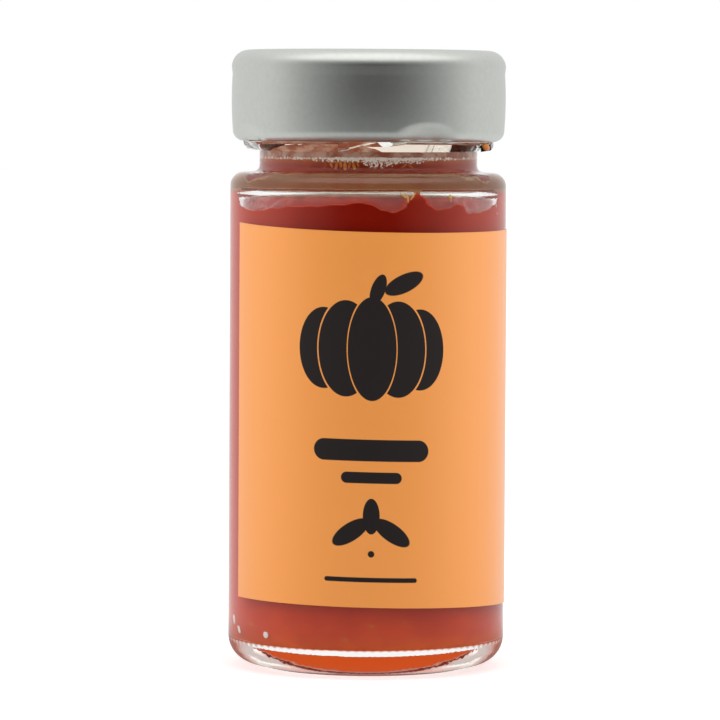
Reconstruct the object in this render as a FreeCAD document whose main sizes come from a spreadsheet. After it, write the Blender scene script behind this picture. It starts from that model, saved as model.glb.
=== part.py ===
import FreeCAD, Part, Sketcher
import math
import os
from FreeCAD import Placement, Rotation, Vector

# A filled twist-off jar: a straight glass jar with a narrow neck and a four-start lug finish,
# a deep tin-plate lid with four pressed lugs, jam up to the neck, and a paper label wrapped
# most of the way round. Millimetres, Z up, origin in the middle of the base. The front of the
# label faces -Y. Angles round the jar are counted from the front towards +X.

SIZES = [
    # glass, outside
    ("jarHeight", 133.5, "base to sealing rim"),
    ("bodyDia", 60.0, "straight body"),
    ("heelRise", 2.0, "rise of the base from its standing ring to the body's corner"),
    ("heelRadius", 6.0, "rounding from body to base"),
    ("shoulderRadius", 2.9, "rounding from body to shoulder"),
    ("shoulderRise", 0.5, "fall of the shoulder from neck to body"),
    ("neckInset", 3.55, "bead in to the neck under it"),
    ("neckLength", 4.3, "shoulder to underside of the bead"),
    ("neckRootRadius", 1.3, "rounding from shoulder to neck"),
    ("finishHeight", 21.5, "underside of the bead to the rim"),
    ("threadDepth", 1.6, "bead and threads in to the wall behind them"),
    ("rimRadius", 1.3, "rounding of the rim"),
    ("ringDia", 44.0, "outer edge of the ring it stands on"),
    ("ringRadius", 1.5, "rounding of that edge"),
    ("standDia", 39.0, "inner edge of the ring"),
    ("standRadius", 0.8, "rounding of that edge"),
    ("pushUp", 2.6, "height of the domed base above the table"),
    # glass, inside
    ("bodyWall", 2.8, "wall of the body"),
    ("finishWall", 4.4, "finish wall in to the bore of neck and mouth"),
    ("shoulderWall", 3.4, "glass over the shoulder"),
    ("mouthRadius", 1.6, "rounding from shoulder into the bore"),
    ("insideShoulderRadius", 2.4, "rounding inside the shoulder"),
    ("baseWall", 5.4, "table to the edge of the inside floor"),
    ("floorRise", 1.0, "rise of the inside floor to its middle"),
    ("insideHeelRadius", 6.5, "rounding from wall to inside floor"),
    # lug finish
    ("threadCount", 4, "starts, and lugs on the lid"),
    ("beadDia", 54.4, "over the bead and the threads"),
    ("beadHeight", 2.1, "height of the bead"),
    ("beadEdge", 0.1, "land at the bead's widest"),
    ("threadAngle", 13.5, "climb of a thread, degrees"),
    ("threadHeight", 1.9, "height of a thread at its root"),
    ("threadTaper", 0.35, "what each flank loses towards its crest"),
    ("threadSweep", 72.0, "degrees covered by one thread"),
    ("threadRoot", 0.6, "how far a thread is rooted in the wall"),
    ("slotHeight", 1.5, "slot under each thread, where a lug slides"),
    # lid
    ("skirtRoom", 2.5, "bead out to the skirt"),
    ("lidHeight", 19.7, "top ring to edge of the skirt"),
    ("lidGauge", 0.3, "tin plate with its lacquer"),
    ("lidTopRadius", 3.7, "rounding from top to skirt"),
    ("lidEdgeRadius", 2.1, "rounding of the curled edge"),
    ("curlHeight", 1.2, "height of the curl"),
    ("panelInset", 2.7, "bore in to the sunk panel of the top"),
    ("panelDrop", 0.8, "depth of the panel"),
    ("panelStep", 1.3, "width of the step round the panel"),
    ("sealGap", 0.05, "rim to lid"),
    ("lugAngle", 26.0, "first lug, degrees from the front"),
    ("lugWidth", 10.0, "length of a lug along the skirt"),
    ("lugHeight", 1.1, "height of a lug"),
    ("lugBite", 0.75, "how far a lug reaches in over the threads"),
    ("lugClearance", 0.1, "lug to thread, above and below"),
    ("curlClearance", 0.25, "curl to threads"),
    ("dimpleLength", 16.5, "pressed hollow outside each lug"),
    ("dimpleHeight", 7.0, "full height of the hollow"),
    ("dimpleDepth", 1.3, "depth of the hollow"),
    ("dimpleBulge", 2.3, "half thickness of the pressing tool"),
    # jam
    ("headspace", 22.9, "rim down to the jam"),
    ("jamClearance", 0.08, "jam to glass"),
    ("pocketCount", 9, "air pockets left under the shoulder"),
    ("pocketDepth", 3.4, "typical reach of a pocket down the wall"),
    ("pocketReach", 3.0, "typical reach of a pocket in from the wall"),
    # label
    ("labelWidth", 150.0, "sheet, along the wrap"),
    ("labelHeight", 81.4, "sheet, at its sides"),
    ("labelBottom", 15.0, "table to the sheet's lower edge"),
    ("labelStart", -66.0, "left edge, degrees from the front"),
    ("labelTilt", 1.3, "how far the sheet sits askew, degrees"),
    ("labelSag", 1.2, "how far its upper edge sags at the front"),
    ("labelLift", 0.6, "how far its lower edge lifts at the front"),
    ("labelGauge", 0.15, "paper"),
    ("labelGlue", 0.03, "paper to glass"),
]

doc = FreeCAD.newDocument("JamJar")
sheet = doc.addObject("Spreadsheet::Sheet", "Sizes")
for row, (name, value, note) in enumerate(SIZES, start=1):
    sheet.set("A%d" % row, name)
    sheet.set("B%d" % row, repr(value))
    sheet.set("C%d" % row, note)
    sheet.setAlias("B%d" % row, name)
doc.recompute()


def size(name):
    return float(getattr(sheet, name))


def fill(text):
    # "{bodyDia} / 2" -> "Sizes.bodyDia / 2", the form that expressions take
    return "(" + text.replace("{", "Sizes.").replace("}", "") + ")"


def number(text):
    value = sheet.evalExpression(fill(text))
    return float(getattr(value, "Value", value))


# levels and radii that more than one piece is built to
BEAD_UNDER = "({jarHeight} - {finishHeight})"
BEAD_TOP = "(" + BEAD_UNDER + " + {beadHeight})"
SHOULDER = "(" + BEAD_UNDER + " - {neckLength})"
CEILING = "(" + SHOULDER + " - {shoulderWall})"
BEAD_OUT = "({beadDia} / 2)"
WALL_OUT = "(" + BEAD_OUT + " - {threadDepth})"
BORE = "(" + WALL_OUT + " - {finishWall})"
NECK = "(" + BEAD_OUT + " - {neckInset})"
CAVITY = "({bodyDia} / 2 - {bodyWall})"
LID_TOP = "({jarHeight} + {sealGap} + {lidGauge})"
LID_EDGE = "(" + LID_TOP + " - {lidHeight})"
SKIRT = "(" + BEAD_OUT + " + {skirtRoom})"
PANEL = "(" + BORE + " - {panelInset})"
# climb of a thread for each degree round the finish
CLIMB = "(pi / 180 * " + BEAD_OUT + " * tan({threadAngle} * 1deg))"
# where a thread's underside leaves the bead's, so that it lies on the lug it draws down
THREAD_START = ("({lugAngle} - {lugWidth} / " + BEAD_OUT + " * 90 / pi - (" + LID_EDGE
                + " + {lugHeight} + {lugClearance} - " + BEAD_UNDER + ") / " + CLIMB + ")")


def origin_plane(body, role):
    return [f for f in body.Origin.OriginFeatures if f.Role == role][0]


def new_body(name):
    return doc.addObject("PartDesign::Body", name)


def outline(body, name, corners, domes=(), role="XZ_Plane"):
    # A closed outline through corners given as pairs of expressions. The sides whose numbers
    # are in domes are arcs centred on the vertical axis, the others are straight.
    sketch = body.newObject("Sketcher::SketchObject", name)
    sketch.AttachmentSupport = [(origin_plane(body, role), "")]
    sketch.MapMode = "FlatFace"
    points = [Vector(number(a), number(b), 0) for a, b in corners]
    count = len(points)
    ends = []
    for i in range(count):
        a, b = points[i], points[(i + 1) % count]
        if i in domes:
            # the circle through a and b with its centre on the axis
            centre = Vector(0, (b.dot(b) - a.dot(a)) / (2 * (b.y - a.y)), 0)
            turn = [math.atan2(p.y - centre.y, p.x - centre.x) for p in (a, b)]
            arc = Part.ArcOfCircle(Part.Circle(centre, Vector(0, 0, 1), (a - centre).Length),
                                   min(turn), max(turn))
            sketch.addGeometry(arc, False)
            ends.append((1, 2) if turn[0] < turn[1] else (2, 1))
        else:
            sketch.addGeometry(Part.LineSegment(a, b), False)
            ends.append((1, 2))
    for i in range(count):
        j = (i + 1) % count
        sketch.addConstraint(Sketcher.Constraint("Coincident", i, ends[i][1], j, ends[j][0]))
        if i in domes:
            sketch.addConstraint(Sketcher.Constraint("PointOnObject", i, 3, -2))
    for i, (a, b) in enumerate(corners):
        for kind, text, value in (("DistanceX", a, points[i].x), ("DistanceY", b, points[i].y)):
            if text == "0":
                axis = -2 if kind == "DistanceX" else -1
                sketch.addConstraint(Sketcher.Constraint("PointOnObject", i, ends[i][0], axis))
            else:
                label = "%s%d" % (kind[-1].lower(), i)
                index = sketch.addConstraint(
                    Sketcher.Constraint(kind, -1, 1, i, ends[i][0], value))
                sketch.renameConstraint(index, label)
                sketch.setExpression("Constraints." + label, fill(text))
    return sketch


def revolve(body, sketch, name, kind="PartDesign::Revolution"):
    feature = body.newObject(kind, name)
    feature.Profile = sketch
    feature.ReferenceAxis = (sketch, ["V_Axis"])
    feature.Angle = 360.0
    sketch.Visibility = False
    doc.recompute()
    return feature


def round_edge(body, name, radius, level, blend):
    # rounds the circular edge of the body that has this radius and level
    r, z = number(radius), number(level)
    tip = body.Tip
    names = []
    for i, edge in enumerate(tip.Shape.Edges, start=1):
        if abs(edge.Length - 2 * math.pi * r) < 1e-3:
            middle = edge.CenterOfMass
            if abs(middle.z - z) < 1e-4 and math.hypot(middle.x, middle.y) < 1e-4:
                names.append("Edge%d" % i)
    feature = body.newObject("PartDesign::Fillet", name)
    feature.Base = (tip, names)
    feature.setExpression("Radius", fill(blend))
    doc.recompute()
    return feature


def around(body, name, feature):
    # repeats a feature round the finish, once for each start
    pattern = body.newObject("PartDesign::PolarPattern", name)
    pattern.Originals = [feature]
    pattern.Axis = (origin_plane(body, "Z_Axis"), [""])
    pattern.Angle = 360.0
    pattern.setExpression("Occurrences", "Sizes.threadCount")
    body.Tip = pattern
    doc.recompute()
    return pattern


def helix(body, name, kind, corners):
    sketch = outline(body, name + "Section", corners)
    feature = body.newObject(kind, name)
    feature.Profile = sketch
    feature.ReferenceAxis = (sketch, ["V_Axis"])
    feature.Mode = 0
    feature.setExpression("Pitch", fill("360 * " + CLIMB))
    feature.setExpression("Height", fill("{threadSweep} * " + CLIMB))
    sketch.Visibility = False
    body.Tip = feature
    doc.recompute()
    return feature


# Glass jar: one turned section with its roundings, then four climbing threads, each with the
# slot below it that lets a lug of the lid in through the bead.
glass = new_body("jar_glass")
section = outline(glass, "GlassSection", [
    ("0", "{pushUp}"),
    ("{standDia} / 2", "0"),
    ("{ringDia} / 2", "0"),
    ("{bodyDia} / 2", "{heelRise}"),
    ("{bodyDia} / 2", SHOULDER + " - {shoulderRise}"),
    (NECK, SHOULDER),
    (NECK, BEAD_UNDER),
    (BEAD_OUT, BEAD_TOP + " - {beadEdge}"),
    (BEAD_OUT, BEAD_TOP),
    (WALL_OUT, BEAD_TOP),
    (WALL_OUT, "{jarHeight}"),
    (BORE, "{jarHeight}"),
    (BORE, CEILING),
    (CAVITY, CEILING + " - {shoulderRise}"),
    (CAVITY, "{baseWall}"),
    ("0", "{baseWall} + {floorRise}"),
], domes=(0, 14))
revolve(glass, section, "GlassTurned")
for name, radius, level, blend in (
        ("StandRound", "{standDia} / 2", "0", "{standRadius}"),
        ("RingRound", "{ringDia} / 2", "0", "{ringRadius}"),
        ("HeelRound", "{bodyDia} / 2", "{heelRise}", "{heelRadius}"),
        ("ShoulderRound", "{bodyDia} / 2", SHOULDER + " - {shoulderRise}", "{shoulderRadius}"),
        ("NeckRootRound", NECK, SHOULDER, "{neckRootRadius}"),
        ("RimOuterRound", WALL_OUT, "{jarHeight}", "{rimRadius}"),
        ("RimInnerRound", BORE, "{jarHeight}", "{rimRadius}"),
        ("MouthRound", BORE, CEILING, "{mouthRadius}"),
        ("InsideShoulderRound", CAVITY, CEILING + " - {shoulderRise}", "{insideShoulderRadius}"),
        ("InsideHeelRound", CAVITY, "{baseWall}", "{insideHeelRadius}")):
    round_edge(glass, name, radius, level, blend)

ROOT = WALL_OUT + " - {threadRoot}"
slot = helix(glass, "LugSlot", "PartDesign::SubtractiveHelix", [
    (WALL_OUT, BEAD_UNDER + " - {slotHeight}"),
    (BEAD_OUT + " + 1", BEAD_UNDER + " - {slotHeight}"),
    (BEAD_OUT + " + 1", BEAD_UNDER),
    (WALL_OUT, BEAD_UNDER),
])
around(glass, "LugSlots", slot)
thread = helix(glass, "Thread", "PartDesign::AdditiveHelix", [
    (ROOT, BEAD_UNDER),
    (BEAD_OUT, BEAD_UNDER + " + {threadTaper}"),
    (BEAD_OUT, BEAD_UNDER + " + {threadHeight} - {threadTaper}"),
    (ROOT, BEAD_UNDER + " + {threadHeight}"),
])
around(glass, "Threads", thread)
# the first thread starts that far round from the front, which is a quarter turn behind +X
glass.Placement = Placement(Vector(0, 0, 0), Rotation(Vector(0, 0, 1), 0))
glass.setExpression("Placement.Rotation.Angle", fill(THREAD_START + " * 1deg - 90deg"))


# Lid: a blank turned to the outer form, less a cavity that stops short of the four pressings,
# less the pressings themselves, plus the lugs that they push in under the threads.
def ring_of(kind, name, count, place):
    objects = []
    for i in range(count):
        item = doc.addObject(kind, "%s%d" % (name, i + 1))
        place(item, i)
        objects.append(item)
    group = doc.addObject("Part::MultiFuse", name + "s")
    group.Shapes = objects
    return group


def boolean(kind, name, base, tool):
    item = doc.addObject(kind, name)
    item.Base = base
    item.Tool = tool
    return item


def place_round(item, radius, level, angle):
    item.Placement = Placement(Vector(0, 0, 0), Rotation(Vector(0, 0, 1), 0))
    item.setExpression("Placement.Base.x", fill("(%s) * sin((%s) * 1deg)" % (radius, angle)))
    item.setExpression("Placement.Base.y", fill("-(%s) * cos((%s) * 1deg)" % (radius, angle)))
    item.setExpression("Placement.Base.z", fill(level))
    item.setExpression("Placement.Rotation.Angle", fill("(%s) * 1deg - 90deg" % angle))


def lug_turn(i):
    return "{lugAngle} + %d * 360 / {threadCount}" % i


blank = new_body("LidBlank")
revolve(blank, outline(blank, "BlankSection", [
    ("0", LID_EDGE),
    (SKIRT, LID_EDGE),
    (SKIRT, LID_TOP),
    (PANEL + " + {panelStep}", LID_TOP),
    (PANEL, LID_TOP + " - {panelDrop}"),
    ("0", LID_TOP + " - {panelDrop}"),
]), "BlankTurned")
round_edge(blank, "LidTopRound", SKIRT, LID_TOP, "{lidTopRadius}")
round_edge(blank, "LidEdgeRound", SKIRT, LID_EDGE, "{lidEdgeRadius}")
round_edge(blank, "PanelRimRound", PANEL + " + {panelStep}", LID_TOP, "{panelDrop}")

cavity = new_body("LidCavity")
INNER = "(" + SKIRT + " - {lidGauge})"
CURL_IN = "(" + BEAD_OUT + " + {curlClearance})"
revolve(cavity, outline(cavity, "CavitySection", [
    ("0", LID_EDGE + " - 1"),
    (CURL_IN, LID_EDGE + " - 1"),
    (CURL_IN, LID_EDGE + " + {curlHeight}"),
    (INNER, LID_EDGE + " + {curlHeight} + 0.5"),
    (INNER, LID_TOP + " - {lidGauge}"),
    (PANEL + " + {panelStep} - {lidGauge} / 2", LID_TOP + " - {lidGauge}"),
    (PANEL + " - {lidGauge} / 2", LID_TOP + " - {lidGauge} - {panelDrop}"),
    ("0", LID_TOP + " - {lidGauge} - {panelDrop}"),
]), "CavityTurned")
round_edge(cavity, "CavityTopRound", INNER, LID_TOP + " - {lidGauge}",
           "{lidTopRadius} - {lidGauge}")


def pressing(extra):
    def place(item, i):
        item.setExpression("Radius1", fill("{dimpleHeight} / 2 + " + extra))
        item.setExpression("Radius2", fill("{dimpleBulge} + " + extra))
        item.setExpression("Radius3", fill("{dimpleLength} / 2 + " + extra))
        place_round(item, SKIRT + " + {dimpleBulge} - {dimpleDepth}",
                    LID_EDGE + " + {lugHeight} / 2", lug_turn(i))
    return place


lug_count = int(size("threadCount"))
pressed_wall = ring_of("Part::Ellipsoid", "PressedWall", lug_count, pressing("{lidGauge}"))
dimples = ring_of("Part::Ellipsoid", "Dimple", lug_count, pressing("0"))
shell = boolean("Part::Cut", "LidShell", blank,
                boolean("Part::Cut", "LidHollow", cavity, pressed_wall))
pressed = boolean("Part::Cut", "LidPressed", shell, dimples)

lug_band = doc.addObject("Part::Cylinder", "LugBand")
lug_band.setExpression("Radius", fill(CURL_IN + " + 0.5"))
lug_band.setExpression("Height", fill("{lugHeight}"))
lug_band.setExpression("Placement.Base.z", fill(LID_EDGE))
lug_bore = doc.addObject("Part::Cylinder", "LugBore")
lug_bore.setExpression("Radius", fill(BEAD_OUT + " - {lugBite}"))
lug_bore.setExpression("Height", fill("{lugHeight}"))
lug_bore.setExpression("Placement.Base.z", fill(LID_EDGE))


def lug_nose(item, i):
    # a lug's nose is round in plan, as wide as the lug where it leaves the curl
    item.setExpression("Radius", fill("{lugWidth} / 2"))
    item.setExpression("Height", fill("{lugHeight}"))
    place_round(item, CURL_IN + " + 1.5", LID_EDGE, lug_turn(i))


noses = ring_of("Part::Cylinder", "LugNose", lug_count, lug_nose)
lugs = boolean("Part::Common", "Lugs",
               boolean("Part::Cut", "LugRing", lug_band, lug_bore), noses)
lid = doc.addObject("Part::MultiFuse", "lid")
lid.Shapes = [pressed, lugs]

# Jam: fills the jar to its level in the neck, clear of the glass by jamClearance, with air
# pockets of uneven size left in the corner under the shoulder.
fill_body = new_body("JamFill")
JAM_LEVEL = "({jarHeight} - {headspace})"
gap = " - {jamClearance}"
revolve(fill_body, outline(fill_body, "JamSection", [
    ("0", "{baseWall} + {floorRise} + {jamClearance}"),
    (CAVITY + gap, "{baseWall} + {jamClearance}"),
    (CAVITY + gap, CEILING + " - {shoulderRise}" + gap),
    (BORE + gap, CEILING + gap),
    (BORE + gap, JAM_LEVEL),
    ("0", JAM_LEVEL),
], domes=(0,)), "JamTurned")
for name, radius, level, blend in (
        ("JamHeelRound", CAVITY + gap, "{baseWall} + {jamClearance}",
         "{insideHeelRadius} - {jamClearance}"),
        ("JamShoulderRound", CAVITY + gap, CEILING + " - {shoulderRise}" + gap,
         "{insideShoulderRadius} - {jamClearance}"),
        ("JamNeckRound", BORE + gap, CEILING + gap, "{mouthRadius} + {jamClearance}")):
    round_edge(fill_body, name, radius, level, blend)


def air_pocket(item, i):
    # pockets follow one another round the shoulder, each of its own size
    vary = "(1 + 0.28 * sin(%d * 137.5deg))" % i
    item.setExpression("Radius1", fill("{pocketDepth} * " + vary))
    item.setExpression("Radius2", fill("{pocketReach} * " + vary))
    item.setExpression("Radius3", fill(
        "pi * " + CAVITY + " / {pocketCount} * (0.8 + 0.12 * sin(%d * 80deg))" % i))
    place_round(item, CAVITY, CEILING + " - {shoulderRise}",
                "%d * 360 / {pocketCount} + 9 * sin(%d * 100)" % (i, i))


pockets = ring_of("Part::Ellipsoid", "AirPocket", int(size("pocketCount")), air_pocket)
jam = boolean("Part::Cut", "jam", fill_body, pockets)


# Label: a paper sheet cut flat and wrapped round the body. Its two long edges are laid out on
# the unrolled wall, once for each face of the paper, and the faces are ruled between them.
LABEL_STEPS = 36


def sheet_side(radius, level, sag, sweep):
    # one long edge of the sheet: askew by labelTilt, and sagging by up to sag at the front
    fall = size("bodyDia") / 2 * math.tan(math.radians(size("labelTilt")))
    points = []
    for i in range(LABEL_STEPS + 1):
        front = math.radians(size("labelStart")) + sweep * i / LABEL_STEPS
        height = level - fall * front - sag * max(0.0, math.cos(front))
        points.append(Vector(radius * math.sin(front), -radius * math.cos(front), height))
    curve = Part.BSplineCurve()
    curve.interpolate(Points=points, Parameters=[i / LABEL_STEPS for i in range(LABEL_STEPS + 1)])
    return curve.toShape()


def wrapped_sheet():
    near = size("bodyDia") / 2 + size("labelGlue")
    far = near + size("labelGauge")
    sweep = size("labelWidth") / ((near + far) / 2)
    low = size("labelBottom")
    high = low + size("labelHeight")
    low_in, low_out = [sheet_side(r, low, -size("labelLift"), sweep) for r in (near, far)]
    high_in, high_out = [sheet_side(r, high, size("labelSag"), sweep) for r in (near, far)]
    faces = [Part.makeRuledSurface(a, b) for a, b in (
        (low_in, high_in), (low_out, high_out), (low_in, low_out), (high_in, high_out))]
    for end in (0, -1):
        corners = [e.Vertexes[end].Point for e in (low_in, high_in, high_out, low_out)]
        faces.append(Part.Face(Part.makePolygon(corners + corners[:1])))
    skin = Part.Shell(faces)
    skin.sewShape()
    return Part.Solid(skin)


label = doc.addObject("Part::Feature", "label")
label.Shape = wrapped_sheet()
label.Placement = Placement(Vector(0, 0, 0), Rotation(Vector(0, 0, 1), 0))

doc.recompute()

# Check and write.
PARTS = [("jar_glass", glass), ("lid", lid), ("jam", jam), ("label", label)]
for item in doc.Objects:
    if "Invalid" in item.State or "Error" in item.State:
        raise RuntimeError("%s did not recompute: %s" % (item.Label, item.State))
os.makedirs("parts", exist_ok=True)
for name, item in PARTS:
    item.Label = name
    shape = item.Shape
    if shape.isNull() or not shape.isValid() or len(shape.Solids) != 1:
        raise RuntimeError("%s is not one valid solid (%d)" % (name, len(shape.Solids)))
    box = shape.BoundBox
    print("%-10s volume %9.1f mm3, x %.2f..%.2f y %.2f..%.2f z %.2f..%.2f" % (
        name, shape.Volume, box.XMin, box.XMax, box.YMin, box.YMax, box.ZMin, box.ZMax))
for name, item in PARTS:
    item.Shape.exportStep("parts/%s.step" % name)
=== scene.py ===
import math
import random

import bpy
from mathutils import Matrix, Vector, noise


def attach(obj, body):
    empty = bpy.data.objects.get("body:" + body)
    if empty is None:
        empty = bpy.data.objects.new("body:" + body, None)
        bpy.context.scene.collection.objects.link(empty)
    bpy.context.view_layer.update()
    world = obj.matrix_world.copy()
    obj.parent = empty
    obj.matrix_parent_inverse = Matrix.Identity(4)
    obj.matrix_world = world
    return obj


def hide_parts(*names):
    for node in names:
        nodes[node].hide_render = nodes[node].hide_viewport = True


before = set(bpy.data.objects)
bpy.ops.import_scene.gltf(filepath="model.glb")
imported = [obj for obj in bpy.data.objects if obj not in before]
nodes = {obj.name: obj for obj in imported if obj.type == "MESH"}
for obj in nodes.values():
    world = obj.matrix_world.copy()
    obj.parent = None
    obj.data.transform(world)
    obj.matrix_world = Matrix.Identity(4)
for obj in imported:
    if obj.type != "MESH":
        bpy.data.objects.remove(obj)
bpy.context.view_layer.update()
scene = bpy.context.scene
mm = 0.001       # the jar's sizes below are in millimetres
axisGap = 0.02   # a turned piece stops this far from its axis
print("frame loaded:", ", ".join(sorted(nodes)))


# Helpers for meshes. Angles go round the jar from the front (-Y) towards +X.

def polar(radius, height, angle):
    return Vector((radius * math.sin(angle), -radius * math.cos(angle), height)) * mm


def addPiece(name, points, faces, materials, faceMaterial=None):
    mesh = bpy.data.meshes.new(name)
    mesh.from_pydata([tuple(p) for p in points], [], faces)
    for material in materials:
        mesh.materials.append(material)
    mesh.polygons.foreach_set("use_smooth", [True] * len(faces))
    if faceMaterial:
        mesh.polygons.foreach_set("material_index", faceMaterial)
    mesh.validate()
    piece = bpy.data.objects.new(name, mesh)
    scene.collection.objects.link(piece)
    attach(piece, "root")
    return piece


def roundedProfile(corners, steps=8):
    # corners are (radius, height, rounding); each rounded corner becomes a short arc
    points = []
    for i, (r, z, blend) in enumerate(corners):
        here = Vector((r, z))
        if not blend:
            points.append(here)
            continue
        before, after = Vector(corners[i - 1][:2]), Vector(corners[i + 1][:2])
        a, b = (before - here).normalized(), (after - here).normalized()
        half = a.angle(b) / 2
        centre = here + (a + b).normalized() * (blend / math.sin(half))
        start = here + a * (blend / math.tan(half)) - centre
        end = here + b * (blend / math.tan(half)) - centre
        turn = start.angle_signed(end)
        for k in range(steps + 1):
            points.append(centre + Matrix.Rotation(-turn * k / steps, 2) @ start)
    return points


def splitLong(points, longest, low=-1e9, high=1e9):
    # cuts what lies between two heights into sides no longer than longest
    cut = [points[0]]
    for a, b in zip(points, points[1:]):
        marks = sorted((level - a.y) / (b.y - a.y) for level in (low, high)
                       if min(a.y, b.y) < level < max(a.y, b.y))
        cut += [a.lerp(b, t) for t in marks] + [b]
    result = [cut[0]]
    for a, b in zip(cut, cut[1:]):
        inside = low <= (a.y + b.y) / 2 <= high
        count = max(1, math.ceil((b - a).length / longest)) if inside else 1
        result += [a.lerp(b, k / count) for k in range(1, count + 1)]
    return result


def turnedGrid(profile, columns, shape):
    # points of a surface of revolution, each moved by shape(radius, height, angle)
    points = []
    for p in profile:
        for c in range(columns):
            angle = 2 * math.pi * c / columns
            points.append(polar(*shape(p.x, p.y, angle)))
    faces = []
    for row in range(len(profile) - 1):
        for c in range(columns):
            a, b = row * columns + c, row * columns + (c + 1) % columns
            faces.append((a, b, b + columns, a + columns))
    return points, faces


def smooth(value, low, high):
    t = min(1.0, max(0.0, (value - low) / (high - low)))
    return t * t * (3 - 2 * t)


def alongTable(table, value):
    # eased from each (degrees, amount) pair to the next, and closed after a full turn
    value = (value - table[0][0]) % 360 + table[0][0]
    for (a, x), (b, y) in zip(table, table[1:] + [(table[0][0] + 360, table[0][1])]):
        if a <= value <= b:
            return x + (y - x) * smooth(value, a, b)
    return table[0][1]


# Helpers for materials.

def newMaterial(name):
    material = bpy.data.materials.new(name)
    material.use_nodes = True
    tree = material.node_tree
    shader = tree.nodes["Principled BSDF"]
    return material, tree, shader


def setShader(shader, **values):
    for key, value in values.items():
        name = {"color": "Base Color", "transmission": "Transmission Weight", "coat": "Coat Weight",
                "coatRoughness": "Coat Roughness", "specular": "Specular IOR Level",
                "emission": "Emission Strength", "ior": "IOR"}.get(key, key.capitalize())
        shader.inputs[name].default_value = value


def feedSocket(tree, socket, feed):
    # another socket is linked, a number or a direction is set, and a colour gets its full alpha
    if isinstance(feed, bpy.types.NodeSocket):
        tree.links.new(feed, socket)
    elif socket.type == "RGBA":
        socket.default_value = tuple(feed) + (1.0,) * (4 - len(feed))
    else:
        socket.default_value = feed


def addNode(tree, kind, *feeds, **settings):
    # a node with its inputs filled in order; None leaves an input as it is
    node = tree.nodes.new("ShaderNode" + kind)
    for key, value in settings.items():
        setattr(node, key, value)
    for socket, feed in zip(node.inputs, feeds):
        if feed is not None:
            feedSocket(tree, socket, feed)
    return node


def maths(tree, operation, a, b=None, clamp=False):
    return addNode(tree, "Math", a, b, operation=operation, use_clamp=clamp).outputs[0]


def addNoise(tree, place, scale, detail=3.0):
    return addNode(tree, "TexNoise", place, None, scale, detail, 0.6).outputs[0]


def mixColor(tree, factor, a, b, blend="MIX"):
    node = addNode(tree, "Mix", factor, data_type="RGBA", blend_type=blend)
    feedSocket(tree, node.inputs[6], a)
    feedSocket(tree, node.inputs[7], b)
    return node.outputs[2]


def mixValue(tree, factor, a, b):
    return addNode(tree, "Mix", factor, None, a, b).outputs[0]


def mapRange(tree, value, fromLow, fromHigh, toLow=0.0, toHigh=1.0, kind="SMOOTHSTEP"):
    node = addNode(tree, "MapRange", value, fromLow, fromHigh, toLow, toHigh,
                   interpolation_type=kind)
    return node.outputs[0]


def lengthOf(tree, vector):
    return addNode(tree, "VectorMath", vector, operation="LENGTH").outputs["Value"]


def dotOf(tree, a, b):
    return addNode(tree, "VectorMath", a, b, operation="DOT_PRODUCT").outputs["Value"]


def newGroup(name, inputs, outputs):
    group = bpy.data.node_groups.new(name, "ShaderNodeTree")
    for title, kind in inputs:
        group.interface.new_socket(title, in_out="INPUT", socket_type="NodeSocket" + kind)
    for title, kind in outputs:
        group.interface.new_socket(title, in_out="OUTPUT", socket_type="NodeSocket" + kind)
    return group, group.nodes.new("NodeGroupInput").outputs, group.nodes.new("NodeGroupOutput").inputs


def useGroup(tree, group, feeds):
    node = tree.nodes.new("ShaderNodeGroup")
    node.node_tree = group
    for name, feed in feeds.items():
        feedSocket(tree, node.inputs[name], feed)
    return node.outputs


# Glass

glass = {"tint": (0.985, 0.992, 0.985), "roughness": 0.0, "ior": 1.5,
         "lampShare": (0.93, 0.95, 0.93)}


def makeGlass():
    material, tree, shader = newMaterial("clearGlass")
    setShader(shader, color=glass["tint"] + (1,), roughness=glass["roughness"],
              transmission=1.0, ior=glass["ior"])
    # lamps reach the jam behind the glass
    path = tree.nodes.new("ShaderNodeLightPath")
    through = tree.nodes.new("ShaderNodeBsdfTransparent")
    through.inputs[0].default_value = glass["lampShare"] + (1,)
    mix = tree.nodes.new("ShaderNodeMixShader")
    tree.links.new(path.outputs["Is Shadow Ray"], mix.inputs[0])
    tree.links.new(shader.outputs[0], mix.inputs[1])
    tree.links.new(through.outputs[0], mix.inputs[2])
    tree.links.new(mix.outputs[0], tree.nodes["Material Output"].inputs[0])
    return material


# Jam: one colour group for the side against the glass and for the open, wet side

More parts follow.
